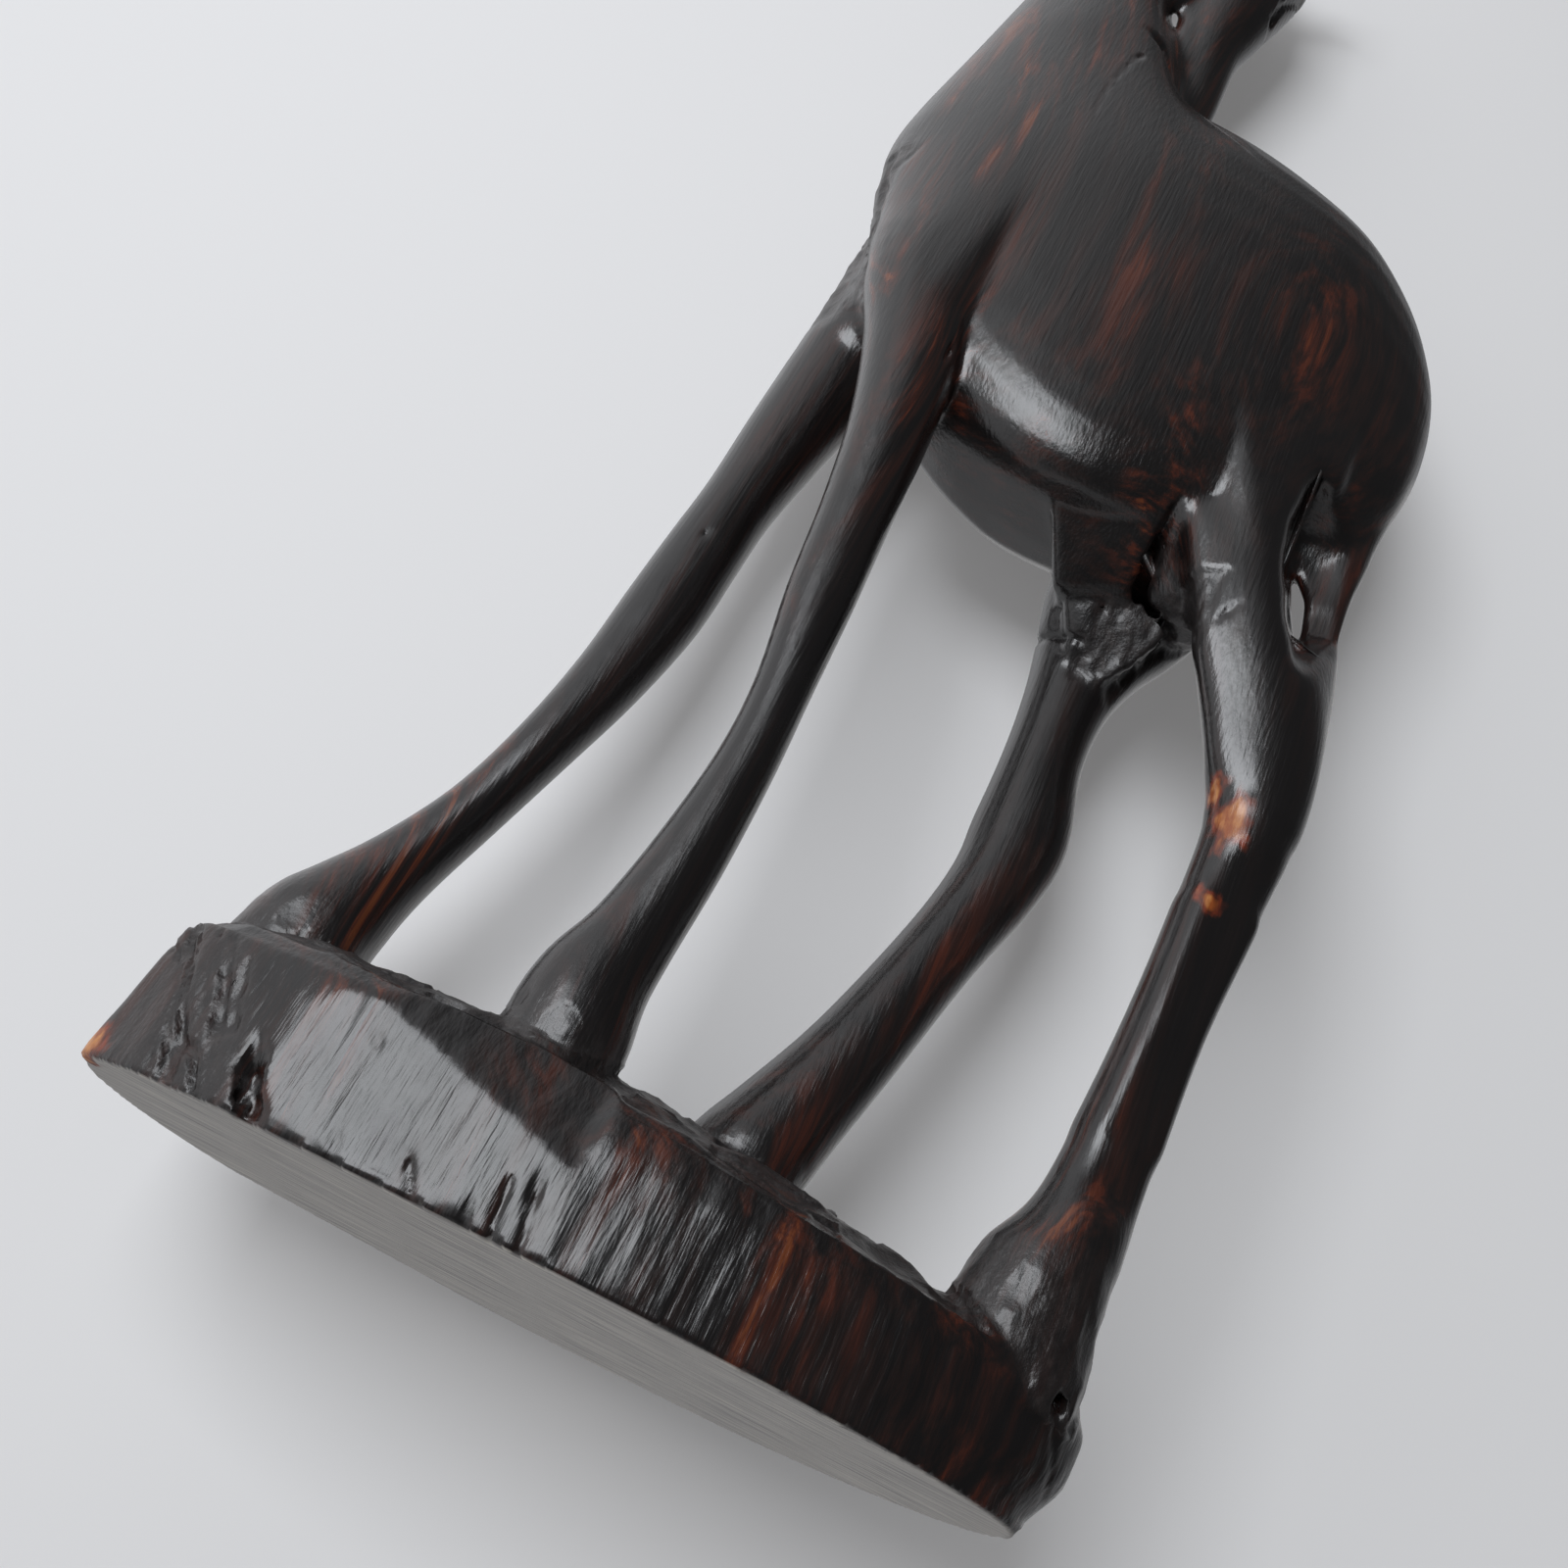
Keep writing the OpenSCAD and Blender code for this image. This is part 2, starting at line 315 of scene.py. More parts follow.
def hull_field(corners):
    """(first sample, distances) of the convex block that just holds some corners."""
    form = bmesh.new()
    for corner in corners:
        form.verts.new(corner)
    hull = bmesh.ops.convex_hull(form, input=form.verts)
    bmesh.ops.delete(form, geom=list({*hull["geom_interior"], *hull["geom_unused"]}), context="VERTS")
    bmesh.ops.triangulate(form, faces=form.faces)
    bmesh.ops.recalc_face_normals(form, faces=form.faces)
    form.verts.index_update()
    places = np.array([v.co for v in form.verts])
    faces = np.array([[v.index for v in face.verts] for face in form.faces])
    form.free()
    return mesh_field(places, faces, PITCH, BAND)


def region_mesh(node):
    """Points and triangles of one CAD region."""
    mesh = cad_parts[node].data
    mesh.calc_loop_triangles()
    points = np.empty(len(mesh.vertices) * 3, np.float32)
    mesh.vertices.foreach_get("co", points)
    triangles = np.empty(len(mesh.loop_triangles) * 3, np.int32)
    mesh.loop_triangles.foreach_get("vertices", triangles)
    return points.reshape(-1, 3) / MM, triangles.reshape(-1, 3)


def surface_at(values, first, pitch, background, level):
    """Points and quads where a block of distances passes a level."""
    grid = openvdb.FloatGrid(background)
    grid.transform = openvdb.createLinearTransform(voxelSize=pitch)
    grid.copyFromArray(values, ijk=tuple(int(i) for i in first))
    points, quads = grid.convertToQuads(isovalue=float(level))
    return points.astype(float), quads.astype(int)


def filled_field(nodes, radius, pitch):
    """(first sample, distances) of several regions with every hollow filled that a ball cannot enter."""
    band = int(radius / pitch) + 3
    blocks = [mesh_field(*region_mesh(node), pitch, band) for node in nodes]
    first, values = blank(blocks, band * pitch)
    for start, block in blocks:
        view = covered(first, values, start, block)
        np.minimum(view, block, out=view)
    swollen = surface_at(values, first, pitch, band * pitch, radius)
    first, values = mesh_field(*swollen, pitch, band)
    return first, values + radius


def resampled(first, values, pitch, axes):
    """A coarse block of distances read between its samples along three fine axes."""
    for k in range(3):
        place = np.clip(axes[k].ravel() / pitch - first[k], 0, values.shape[k] - 1.001)
        cell = place.astype(int)
        part = (place - cell).astype(np.float32).reshape([-1 if j == k else 1 for j in range(3)])
        values = np.take(values, cell, axis=k) * (1 - part) + np.take(values, cell + 1, axis=k) * part
    return values


# ---------------------------------------------------------------- shaping

regions = {node: mesh_field(*region_mesh(node), PITCH, BAND) for node in sorted(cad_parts)}
field = Field(regions)

BASE_CUTS = (  # a point on each flat cut round the base block and the way it faces
    ((-22, -28.5, 10), (-0.114, -0.993, 0.02)),
    ((-63, -17.6, 10), (-0.60, -0.80, 0.03)),
    ((-51, -23.4, 10), (-0.383, -0.924, 0.02)),
    ((-70.6, 0, 10), (-0.99, -0.08, 0.10)),
    ((-62, 17, 10), (-0.66, 0.75, 0.05)),
    ((-30, 28.0, 10), (-0.18, 0.98, 0.04)),
    ((24, 28.8, 10), (0.15, 0.985, 0.03)),
    ((58, 20.5, 10), (0.62, 0.78, 0.06)),
    ((74.6, 2, 10), (0.99, 0.06, 0.08)))

# Points down the squared front edge of the near hind leg.
FRONT_EDGE = ((38.4, -20.4, 171.3), (41.8, -20.2, 161.5), (45.4, -20.2, 151.5), (49.7, -20.0, 141.0),
              (54.0, -20.0, 131.5), (57.8, -19.8, 123.5), (61.1, -19.4, 117.2))

TRUNK = ("torso", "neck", "left_front_leg", "right_front_leg", "left_hind_leg", "right_hind_leg")

# Knife nicks and checks in the polished wood. Each point has the mark's half width and depth.
NICKS = (
    (((-42.0, -13.4, 228.5), 0.4, 0.0), ((-40.6, -14.6, 233.0), 0.7, 0.4), ((-39.2, -15.8, 238.0), 0.4, 0.0)),
    (((-12.4, -22.8, 174), 0.4, 0.0), ((-12.2, -22.8, 177.5), 0.7, 0.9), ((-12.0, -22.8, 181), 0.4, 0.0)),
    (((51.0, -22, 146.0), 0.4, 0.0), ((52.6, -22.4, 149.4), 0.7, 0.5), ((54.4, -23.8, 153.0), 0.4, 0.0)),
    (((-38.8, 0.6, 131), 0.4, 0.0), ((-38.2, 0.4, 133.2), 0.7, 0.6), ((-37.2, 0.2, 135.2), 0.4, 0.0)),
    (((-7.4, -17.9, 289.4), 0.8, 0.5), ((-8.6, -19.3, 286), 0.6, 0.20),
     ((-10.4, -21.2, 271.5), 0.7, 0.15), ((-10.2, -24.2, 240), 0.6, 0.0)),
    (((67.6, -22.6, 17.5), 0.8, 0.1), ((68.2, -22.6, 15), 1.3, 1.1),
     ((68.8, -22.4, 12.5), 0.7, 0.4), ((72.3, -17.4, 3), 0.4, 0.2)))

# Ragged gouge marks in the side of the base. The fifth is the hole where a splinter broke away.
GOUGES = (
    (((-63.6, -18.0, 17.0), 0.9, 0.0), ((-58.6, -20.8, 9.0), 1.1, 0.6), ((-53.7, -23.3, 0.5), 1.0, 0.4)),
    (((-61.2, -19.0, 18.4), 0.8, 0.2), ((-57.0, -21.4, 11.0), 1.0, 0.6), ((-53.0, -23.6, 4.0), 0.8, 0.0)),
    (((-58.9, -19.9, 19.2), 0.9, 0.4), ((-54.0, -22.6, 10.0), 1.2, 0.7), ((-49.3, -25.1, 0.5), 0.9, 0.3)),
    (((-55.3, -21.5, 19.0), 1.1, 0.6), ((-51.6, -23.6, 10.0), 1.4, 1.0), ((-49.0, -24.8, 7.0), 0.9, 0.0)),
    (((-47.6, -25.4, 11.5), 0.8, 0.0), ((-45.2, -26.2, 6.0), 2.2, 2.4), ((-42.4, -27.3, 0.5), 2.4, 2.6)),
    (((-33.4, -28.1, 17.2), 0.4, 0.0), ((-32.8, -28.2, 15.8), 0.6, 0.6), ((-32.0, -28.4, 14.2), 0.4, 0.0)),
    (((-31.1, -29.4, 5.0), 0.5, 0.0), ((-30.2, -29.6, 2.0), 0.7, 0.4), ((-29.6, -29.7, 0.0), 0.8, 0.3)),
    (((-21.6, -30.1, 5.0), 0.5, 0.0), ((-19.6, -30.4, 2.0), 0.8, 0.6), ((-18.5, -30.6, 0.0), 0.8, 0.5)),
    (((-8.9, -30.7, 9.5), 0.6, 0.0), ((-7.9, -30.9, 5.0), 0.9, 0.9), ((-7.2, -31.0, 0.0), 0.9, 0.7)),
    (((-5.6, -30.7, 11.5), 0.6, 0.0), ((-4.2, -31.0, 6.0), 1.0, 0.8), ((-3.2, -31.0, 0.0), 1.0, 0.6)),
    (((-11.8, -30.4, 5.0), 0.5, 0.0), ((-11.0, -30.6, 2.0), 0.8, 0.4), ((-10.6, -30.7, 0.0), 0.8, 0.4)))


def shape_base():
    """The slab with its flat cuts and the chamfer over the longest of them. Its sides run straight down past
    the underside, which is cut flat at the end."""
    field.add(*regions["base"])
    for place, facing in BASE_CUTS:
        field.cut_plane(place, facing, (-90, -45, -8), (90, 45, 45))
    field.cut_plane((-20, -29.1, 16.2), (-0.01, -0.93, 0.36), (-52, -45, 5), (-2, -10, 45))
    foot, _ = field.window((-100, -60, -6), (100, 60, 1.5))
    foot[:] = foot[:, :, -1:]


def join_trunk():
    """The neck, shoulders and hip run into the trunk as long flat planes."""
    field.bridge(("torso", (-48, -30, 234), (10, 30, 272)), ("neck", (-60, -30, 322), (20, 30, 342)))
    field.bridge(("left_front_leg", (-60, -30, 186), (0, 0, 206)), ("torso", (-46, -30, 222), (-14, -6, 262)))
    field.bridge(("right_front_leg", (-60, 0, 186), (0, 30, 206)), ("torso", (-44, 4, 226), (-14, 30, 252)))
    field.bridge(("left_hind_leg", (30, -30, 160), (90, 0, 178)), ("torso", (38, -30, 196), (66, -8, 222)))


def shape_groin():
    """The squared block under the belly, the flat inner side of the near thigh, and the far leg's knob."""
    field.bridge(corners=((13.5, -17.6, 167.6), (36.6, -20.6, 171.2), (24.0, -5.5, 151.5),
                          (37.4, -9.0, 156.6), (26, 4, 171), (36, 4, 173), (30, 8, 156), (37, 6, 158)))
    field.bridge(corners=((26, -4.6, 153.5), (37.4, -8.6, 158.0), (48.3, -7.0, 153.4), (44, -1, 146),
                          (40, 0.5, 140), (33, 2.0, 142), (32, 8, 150), (46, 8, 152)))
    field.bridge(corners=((38.8, -18.4, 170.3), (40.3, -8, 157.5), (43.5, -8, 155.6), (48.3, -8, 153.6),
                          (49.5, -13, 152), (46, -15, 160), (40, 0, 168), (50, 0, 158)))
    field.lump((30.0, 5.4, 159), (31.0, 5.4, 152.5), 5.8, 5.6)


def shape_near_hind_leg():
    """Its squared front edge, its flat shank, and the wood that joins it to the tail."""
    for upper, middle, lower in zip(FRONT_EDGE, FRONT_EDGE[1:], FRONT_EDGE[2:]):
        behind = ("left_hind_leg", (30, -30, lower[2] - 3), (90, 0, upper[2] + 3))
        field.bridge(behind, corners=(upper, middle, lower))
    field.cut_plane((65.5, -20.9, 100), (0.17, -0.985, -0.03), (50, -30, 44), (90, -8, 106))
    field.lump((61, -5, 184), (66.5, -7, 146), 6.0, 6.0)
    field.bridge(("left_hind_leg", (66, -30, 122), (90, 0, 150)), ("tail", (60, -30, 122), (90, 10, 160)))


def shape_head():
    """The jaw, and the wood where the back and the neck meet the head."""
    field.lump((-3.9, -6.2, 334), (-0.6, -5.8, 323), 2.4, 2.3)
    field.lump((-0.6, -5.8, 323), (2.2, -5.4, 315.5), 2.3, 2.3)
    field.lump((4.3, -2.0, 302.4), (6.5, -3.0, 300.9), 5.0, 5.0)
    field.lump((-11.4, -8.5, 332.6), (-5.0, -6.3, 340.3), 3.4, 3.6)


def flank_share(x, y, z):
    """Shoulders, chest and rump flow together, while the belly keeps its creases."""
    front = ramp(z, 188, 204) * (1 - ramp(x, -8, 2))
    rear = ramp(z, 170, 186) * ramp(x, 36, 44)
    top = ramp(z, 215, 230)
    back_gap = ramp(z, 280, 296) * ramp(x, -16, -6)
    return (np.maximum(np.maximum(front, rear), top) * (1 - back_gap)).astype(np.float32)


def neck_share(x, y, z):
    """The neck grows out of the shoulders as one flat plane."""
    return (ramp(z, 222, 240) * (1 - ramp(x, -14, 2)) * (1 - ramp(z, 322, 335))).astype(np.float32)


def blend_meetings():
    """Fills the corners between regions, then smooths the longer planes one box at a time."""
    field.fill_hollows(22, 2.0, (-60, -40, 165), (90, 40, 345), flank_share, TRUNK)
    field.fill_hollows(60, 4.0, (-60, -40, 215), (20, 40, 345), neck_share, ("torso", "neck"))
    for spread, low, high in (
            (4.0, (-36, -40, 205), (24, 0, 345)),  # neck and shoulder
            (2.5, (-54, -34, 206), (-22, -2, 262)),  # chest
            (2.0, (58, -34, 118), (90, 0, 192)),  # tail
            (1.6, (34, -34, 96), (70, -4, 184)),  # front of the near thigh
            (2.2, (50, -34, 34), (88, 0, 56)),  # foot of the near shank
            (1.6, (-24, -26, 324), (10, 10, 354)),  # neck and jaw
            (2.2, (50, -34, 96), (88, 0, 116))):  # top of the near shank
        field.soften(spread, low, high)


def carve_hollows():
    """The hollow and the slot between the near thigh and the tail, and the dark hollows behind the front edge
    of the chest and between the ridge of the back and the head."""
    field.carve(((57.7, -28, 184.4), (59.0, -28, 184.5), 9.0, 9.5),
                ((55.8, -28, 173.3), (64.0, -28, 177.2), 20.0, 17.5),
                ((55.8, -28, 165.8), (67.8, -28, 169.4), 28.0, 24.3),
                ((58.5, -28, 154.1), (70.0, -28, 158.7), 28.0, 24.8),
                ((62.2, -28, 144.7), (70.9, -28, 147.7), 26.0, 25.2),
                ((65.5, -28, 138.0), (69.0, -28, 140.0), 7.0, 9.5))
    field.soften(1.5, (50, -34, 124), (86, 2, 204))
    field.pierce((59.3, -28, 159.2), (62.0, -28, 152.5), 0.5, 1.3, 75)
    field.pierce((62.0, -28, 152.5), (64.6, -28, 142.0), 1.3, 0.5, 75)
    field.trail(((-45.4, -9.0, 238), 0.4), ((-45.2, -7.5, 230), 2.3), ((-41.5, -9.0, 214), 3.1),
                ((-35.5, -10.0, 190), 2.6), ((-31.0, -10.0, 176), 0.4))
    field.trail(((-9.0, -17.5, 301), 0.4), ((-4.5, -15.8, 299.5), 1.5), ((1.5, -14.8, 293.5), 1.6),
                ((10.0, -15.8, 285), 1.4), ((18.8, -18.4, 277.8), 1.1), ((26.9, -21.0, 269.5), 0.3))


def score_marks():
    """The groove beside the block under the belly, the ring under the far leg's knob, the lids of the eye,
    the nicks and the gouge marks."""
    field.score(((37.6, -20.7, 172.6), 0.8, 0.0), ((37.6, -19.8, 169.0), 1.0, 1.0),
                ((38.2, -14.6, 162.6), 1.2, 1.3), ((38.8, -9.4, 156.8), 1.2, 1.2),
                ((39.6, -7.0, 153.8), 0.8, 0.0))
    field.score(((25.6, 8.5, 148.9), 0.8, 0.6), ((28.8, 3.6, 148.6), 1.0, 0.9),
                ((33.0, 1.2, 148.2), 1.0, 0.8), ((38.0, 1.0, 143.5), 0.7, 0.0))
    field.score(((20.4, -4.6, 361), 0.9, 0.8), ((16.3, -7.6, 350), 1.1, 1.1),
                ((15.6, -6.0, 344.5), 1.0, 1.1), ((16.6, -3.0, 342.6), 0.7, 0.4))
    field.score(((20.8, -3.0, 359), 0.6, 0.3), ((19.4, -3.6, 351), 0.8, 0.8), ((17.0, -3.0, 344.0), 0.8, 0.6))
    for stations in NICKS:
        field.score(*stations)
    for index, stations in enumerate(GOUGES):
        field.score(*stations, ragged=0.5, seed=70 + index)


def flatten_underside():
    view, xyz = field.window((-100, -50, -8), (100, 50, 4))
    np.maximum(view, -xyz[2], out=view, casting="unsafe")


shape_base()
for node in regions:
    if node != "base":
        field.add(*regions[node])
join_trunk()
shape_groin()
shape_near_hind_leg()
shape_head()
blend_meetings()
carve_hollows()
field.soften(0.8)
score_marks()
flatten_underside()


# ---------------------------------------------------------------- skin

def vertex_normals(points, quads, lowest=-1):
    """The average way the faces round each point look, leaving out faces that lie no higher than lowest."""
    quads = quads[points[quads, 2].max(1) > lowest]
    corners = points[quads]
    across = np.cross(corners[:, 2] - corners[:, 0], corners[:, 3] - corners[:, 1])
    total = np.zeros_like(points)
    for k in range(4):
        for axis in range(3):
            total[:, axis] += np.bincount(quads[:, k], across[:, axis], len(points))
    return total / np.maximum(np.linalg.norm(total, axis=1, keepdims=True), 1e-12)


def region_distance(node, points):
    """Distance from one CAD region at each point, read between the samples."""
    first, block = regions[node]
    place = points / PITCH - first
    inside = np.all((place >= 0) & (place < np.array(block.shape) - 1), axis=1)
    place = np.clip(place, 0, np.array(block.shape) - 1.001)
    cell = place.astype(int)
    part = place - cell
    total = np.zeros(len(points))
    for corner in np.ndindex(2, 2, 2):
        share = np.prod(np.where(corner, part, 1 - part), axis=1)
        at = cell + corner
        total += share * block[at[:, 0], at[:, 1], at[:, 2]]
    return np.where(inside, total, BAND * PITCH)


def outward_skin():
    """The points and quads of the skin, with every quad facing out of the wood."""
    points, quads = field.skin()
    corners = points[quads]
    volume = np.einsum("ij,ij->i", corners[:, 0], np.cross(corners[:, 1], corners[:, 2])).sum()
    if volume < 0:
        quads = quads[:, ::-1]
    return points, quads


points, quads = outward_skin()
normals = vertex_normals(points, quads)
names = sorted(regions)
distances = np.stack([region_distance(node, points) for node in names], 1)
x, y, z = points.T


def near(node, reach):
    """1 at a region's own wood and 0 at a distance from it."""
    return 1 - ramp(distances[:, names.index(node)], 0.3, reach)


def web_mask():
    """The uncut wood between the hind legs, and the rough hollow beside it."""
    web = near("hind_web", 2.0) * ramp(x, 36, 38)
    height = ramp(z, 138, 143) * (1 - ramp(z - 0.25 * (x - 30), 152, 154))
    return np.maximum(web, height * ramp(x, 32, 35) * (1 - ramp(x, 49, 51)) * (1 - ramp(y, 3, 5)))


def chest_mask():
    """The front of the chest between the shoulders, with a ragged edge."""
    height = ramp(z, 192, 200) * (1 - ramp(z, 236, 246))
    return height * ramp(y + 1.5 * ragged, -15, -12) * (1 - ramp(y, 6, 10)) * (1 - ramp(x, -33, -29))


# Masks from 0 to 1 for each point of the skin.
ragged = noise(points, (5, 5, 5), 11)
base_top = near("base", 1.5) * ramp(normals[:, 2], 0.45, 0.75)
base_side = near("base", 1.5) * (1 - ramp(np.abs(normals[:, 2]), 0.3, 0.6))
collars = (1 - near("base", 0.6)) * (1 - ramp(z + 4 * ragged, 27, 38))
web = web_mask()
chest = chest_mask()
end_place = x + END_SLANT * z
worked_end = base_side * (1 - ramp(end_place, -46, -42))
hewn_share = np.clip(base_top + 0.9 * collars + web + 0.9 * chest + 0.75 * worked_end, 0, 1)
# The flat sawn underside. Its colour is partly painted light: it is paler than sawn wood alone, to stand in
# for light from below.
sawn_share_with_painted_light = ramp(-normals[:, 2], 0.75, 0.95) * (1 - ramp(z, 0.6, 1.6))


def tool_relief():
    """How far each point of the skin stands out: chips where it is hewn, slow waves where it is polished."""
    chips = scoops(points, (6.5, 3.6, 4), 21, 0.8)
    small_chips = scoops(points, (2.6, 2.6, 3.4), 31, 0.7)
    waves = noise(points, (24, 24, 60), 41) * 0.30 + noise(points, (9, 9, 26), 43) * 0.10
    polish = (1 - hewn_share) * (1 - base_side) * ramp(z, 2, 8)
    lift = waves * polish
    lift += base_top * ((chips - 0.35) * 1.7 + (small_chips - 0.35) * 0.6)
    lift += np.maximum(0.6 * collars, 0.6 * chest) * (small_chips - 0.35) * 1.3
    lift += web * (scoops(points, (1.3, 2.6, 5.0), 33, 0.8) - 0.35) * 0.9
    slanted = np.stack([end_place, y, z], 1)
    ridges = np.abs(noise(slanted, (2.6, 40, 11), 57)) + 0.4 * np.abs(noise(slanted, (1.2, 20, 4), 58))
    ridged = worked_end * (1 - ramp(end_place, -49, -46)) * ramp(end_place, -62, -56)
    lift -= ridged * (1 - ramp(ridges, 0.05, 0.45)) * 0.9
    rasped = rough(points, (2.4, 2.4, 9), 51) * 0.14 + noise(points, (11, 11, 14), 55) * 0.22
    lift += base_side * rasped * ramp(z, 0.8, 2.5)
    return lift


def sap_patches():
    """How much of the orange sapwood shows at each point."""
    share = np.zeros(len(points))
    flecks = noise(points, (1.6, 1.6, 3.5), 61) + 0.5 * noise(points, (0.7, 0.7, 1.6), 62)
    for centre, reach in (
            ((65.4, -20.5, 111.0), (4.4, 5, 7.5)),
            ((61.8, -17.5, 118.0), (2.6, 4, 3.6)),
            ((66.0, -21.2, 96.0), (3.4, 4, 3.6)),
            ((-69.8, -13.0, 2.0), (4.6, 5, 4.4)),
            ((-42.8, -27.4, 1.2), (2.6, 3, 2.4))):
        away = np.sqrt((((points - centre) / reach) ** 2).sum(1))
        share = np.maximum(share, ramp(1 - away + 0.35 * flecks, 0.05, 0.80))
    return share


lift = tool_relief()
shares = {"hewn_share": hewn_share, "sawn_share_with_painted_light": sawn_share_with_painted_light, "sap_share": sap_patches()}
points += normals * lift[:, None]
points[:, 2] = np.maximum(points[:, 2], 0)
normals = vertex_normals(points, quads, 0.01)
nearest = distances[quads].mean(1).argmin(1)


# ---------------------------------------------------------------- wood material

class Tree:
    """Short words for building a node tree."""

    def __init__(self, owner):
        owner.use_nodes = True
        self.nodes = owner.node_tree.nodes
        self.links = owner.node_tree.links
        self.nodes.clear()

    def put(self, kind, *sockets, **settings):
        """Adds a node. Sockets are values or links for its inputs in order, None to leave one."""
        node = self.nodes.new("ShaderNode" + kind)
        for name, value in settings.items():
            setattr(node, name, value)
        for socket, value in zip(node.inputs, sockets):
            self.feed(socket, value)
        return node

    def feed(self, socket, value):
        if value is None:
            return
        if isinstance(value, bpy.types.NodeSocket):
            self.links.new(value, socket)
        else:
            socket.default_value = value

    def maths(self, operation, *sockets):
        return self.put("Math", *sockets, operation=operation).outputs[0]

    def noise(self, vector, scale, detail=3.0, roughness=0.55):
        node = self.put("TexNoise")
        self.feed(node.inputs["Vector"], vector)
        self.feed(node.inputs["Scale"], scale)
        self.feed(node.inputs["Detail"], detail)
        self.feed(node.inputs["Roughness"], roughness)
        return node.outputs["Fac"]

    def ramp(self, value, *stops):
        node = self.put("ValToRGB", value)
        elements = node.color_ramp.elements
        while len(elements) < len(stops):
            elements.new(0.5)
        for element, (place, colour) in zip(elements, stops):
            element.position = place
            element.color = (*colour, 1) if isinstance(colour, tuple) else (colour,) * 3 + (1,)
        return node.outputs[0]

    def mix(self, share, a, b):
        node = self.put("Mix", data_type="RGBA")
        self.feed(node.inputs["Factor"], share)
        self.feed(node.inputs[6], a)
        self.feed(node.inputs[7], b)
        return node.outputs[2]

    def attribute(self, name):
        return self.put("Attribute", attribute_name=name).outputs["Fac"]

    def scaled(self, vector, x, y, z):
        return self.put("VectorMath", vector, (x, y, z), operation="MULTIPLY").outputs[0]


HEART = (0.035, 0.10)  # x and y of the middle of the rings, behind the statue
KNOT = (0.047, 0.222)  # x and z of the figure on the flank
KNOT_REACH = 0.034
RING_BULGE = 0.009  # how far the rings are pushed out at the knot


def length(tree, a, b):
    squares = tree.maths("ADD", tree.maths("MULTIPLY", a, a), tree.maths("MULTIPLY", b, b))
    return tree.maths("SQRT", squares)


def fading(tree, value, start, end, strength):
    """Falls smoothly from a strength to nothing as the value goes from start to end."""
    return tree.put("MapRange", value, start, end, strength, 0.0, interpolation_type="SMOOTHSTEP").outputs[0]


def grain_colour(tree, place):
    """Nearly black heartwood. Its rings lie round a heart behind the statue, so they show as long streaks
    down the limbs, and they bulge round a knot on the flank."""
    x, y, z = tree.put("SeparateXYZ", place).outputs[:3]
    from_heart = length(tree, tree.maths("SUBTRACT", x, HEART[0]), tree.maths("SUBTRACT", y, HEART[1]))
    wander = tree.noise(tree.scaled(place, 40, 40, 11), 1.0, 2.0)
    ring = tree.maths("ADD", from_heart, tree.maths("MULTIPLY", wander, 0.006))
    knot_z = tree.maths("MULTIPLY", tree.maths("SUBTRACT", z, KNOT[1]), 0.55)
    knot = length(tree, tree.maths("SUBTRACT", x, KNOT[0]), knot_z)
    near_knot = fading(tree, knot, 0.0, KNOT_REACH, 1.0)
    flash = fading(tree, knot, 0.002, 0.014, 0.35)
    ring = tree.maths("ADD", ring, tree.maths("MULTIPLY", near_knot, RING_BULGE))

    streaks = tree.put("CombineXYZ", ring, tree.maths("MULTIPLY", x, 0.30), tree.maths("MULTIPLY", z, 0.022))
    fine = tree.ramp(tree.noise(streaks.outputs[0], 700.0, 5.0, 0.62), (0.42, 0.0), (0.64, 1.0))
    broad = tree.ramp(tree.noise(tree.scaled(place, 52, 30, 11), 1.0, 2.0, 0.5), (0.34, 0.12), (0.66, 1.0))
    shown = tree.maths("MAXIMUM", broad, tree.maths("MULTIPLY", near_knot, 0.85))
    figure = tree.maths("MULTIPLY", fine, shown)
    figure = tree.maths("ADD", figure, tree.maths("MULTIPLY", flash, broad))
    return tree.ramp(figure, (0.05, (0.0080, 0.0068, 0.0068)), (0.30, (0.015, 0.0088, 0.0078)),
                     (0.55, (0.032, 0.0115, 0.0085)), (0.78, (0.068, 0.0175, 0.0100)),
                     (1.0, (0.135, 0.037, 0.013)))


def hewn_colour(tree, place):
    dust = tree.noise(tree.scaled(place, 500, 500, 300), 1.0, 4.0)
    return tree.ramp(dust, (0.35, (0.0065, 0.0055, 0.0055)), (0.62, (0.022, 0.017, 0.016)),
                     (0.80, (0.060, 0.048, 0.044)))


# Pale sawn wood with its saw lines, made paler still as painted light from below.
def sawn_colour_with_painted_light(tree, place):
    saw_lines = tree.noise(tree.scaled(place, 45, 1500, 900), 1.0, 4.0, 0.7)
    return tree.ramp(saw_lines, (0.30, (0.12, 0.115, 0.115)), (0.50, (0.38, 0.36, 0.34)),
                     (0.72, (0.58, 0.55, 0.48)))


def sap_colour(tree, place, sap_share):
    """Orange sapwood, red at its rim."""
    fibres = tree.noise(tree.scaled(place, 700, 700, 260), 1.0, 3.0)
    rim = tree.ramp(fibres, (0.35, (0.05, 0.012, 0.007)), (0.65, (0.20, 0.035, 0.012)))
    middle = tree.ramp(fibres, (0.40, (0.26, 0.065, 0.014)), (0.65, (0.46, 0.19, 0.055)))
    return tree.mix(tree.ramp(sap_share, (0.45, 0.0), (0.85, 1.0)), rim, middle)


